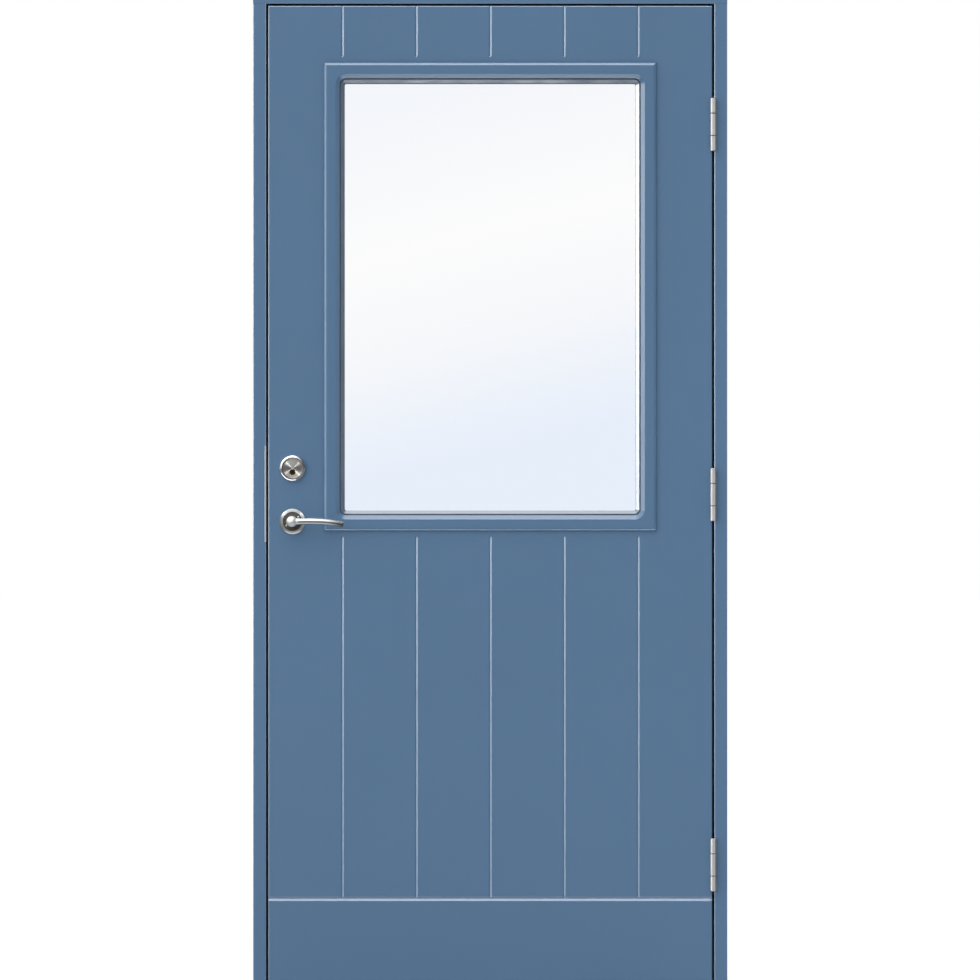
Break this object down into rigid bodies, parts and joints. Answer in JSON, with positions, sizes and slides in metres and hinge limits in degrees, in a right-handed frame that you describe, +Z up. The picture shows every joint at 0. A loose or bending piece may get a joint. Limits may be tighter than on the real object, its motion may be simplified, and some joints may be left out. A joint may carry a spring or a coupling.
{
  "type": "exterior door",
  "caption": "Glazed single-leaf exterior door in a rebated frame: grooved blue leaf with a large upper window, lever handle, lock cylinder, butt hinges and a threshold.",
  "frame": {"origin": "on the underside of the threshold, at the middle of the frame's width and depth", "axes": "+Z up, +Y from the outside to the inside, +X towards the hinges"},
  "size_m": [0.99, 0.173, 2.09],
  "materials": {
    "frame_paint": "satin blue paint on timber",
    "leaf_paint": "satin blue paint on board and timber",
    "threshold_wood": "oiled hardwood",
    "threshold_aluminium": "mill finish",
    "spacer_aluminium": "satin",
    "seal_rubber": "matt black",
    "gasket_grey": "satin grey",
    "clear_glass": "clear",
    "hinge_steel": "satin",
    "lock_steel": "satin",
    "cylinder_steel": "turned, satin",
    "handle_steel": "satin",
    "rose_plate_grey": "dark grey",
    "plug_brass": "satin"
  },
  "bodies": {
    "frame": {"frame_head": "frame_paint", "lock_jamb": "frame_paint", "hinge_jamb": "frame_paint", "threshold": "threshold_wood", "threshold_cap": "threshold_aluminium", "strike_plate": "lock_steel", "head_seal": "seal_rubber", "lock_side_seal": "seal_rubber", "hinge_side_seal": "seal_rubber", "threshold_seal": "seal_rubber", "upper_hinge_frame_half": "hinge_steel", "upper_hinge_pin": "hinge_steel", "middle_hinge_frame_half": "hinge_steel", "middle_hinge_pin": "hinge_steel", "lower_hinge_frame_half": "hinge_steel", "lower_hinge_pin": "hinge_steel"},
    "leaf": {"outside_skin": "leaf_paint", "inside_skin": "leaf_paint", "lock_stile": "leaf_paint", "hinge_stile": "leaf_paint", "top_rail": "leaf_paint", "bottom_rail": "leaf_paint", "outside_glazing_frame": "leaf_paint", "outside_gasket": "gasket_grey", "outer_pane": "clear_glass", "glass_spacer": "spacer_aluminium", "inner_pane": "clear_glass", "inside_gasket": "gasket_grey", "inside_glazing_frame": "leaf_paint", "lock_forend": "lock_steel", "latch_bolt": "lock_steel", "dead_bolt": "lock_steel", "cylinder_ring": "cylinder_steel", "cylinder_face": "cylinder_steel", "turn_rose": "cylinder_steel", "thumb_turn": "cylinder_steel", "outside_rose": "handle_steel", "inside_rose": "handle_steel", "outside_rose_plate": "rose_plate_grey", "inside_rose_plate": "rose_plate_grey", "upper_hinge_leaf_half": "hinge_steel", "middle_hinge_leaf_half": "hinge_steel", "lower_hinge_leaf_half": "hinge_steel"},
    "handle": {"outside_lever": "handle_steel", "inside_lever": "handle_steel", "spindle": "handle_steel"},
    "plug": {"key_plug": "plug_brass"}
  },
  "joints": [
    {"name": "leaf_swing", "type": "hinge", "parent": "frame", "child": "leaf", "pos_m": [0.4655, -0.0595, 1.038], "axis": [0, 0, 1], "range_deg": [0, 170]},
    {"name": "lever_turn", "type": "hinge", "parent": "leaf", "child": "handle", "pos_m": [-0.4125, -0.0215, 0.982], "axis": [0, 1, 0], "range_deg": [0, 45], "stiffness_Nm_per_rad": 2, "springref_deg": -20.05},
    {"name": "key_turn", "type": "hinge", "parent": "leaf", "child": "plug", "pos_m": [-0.4125, -0.0578, 1.085], "axis": [0, 1, 0], "range_deg": [-90, 90]}
  ]
}
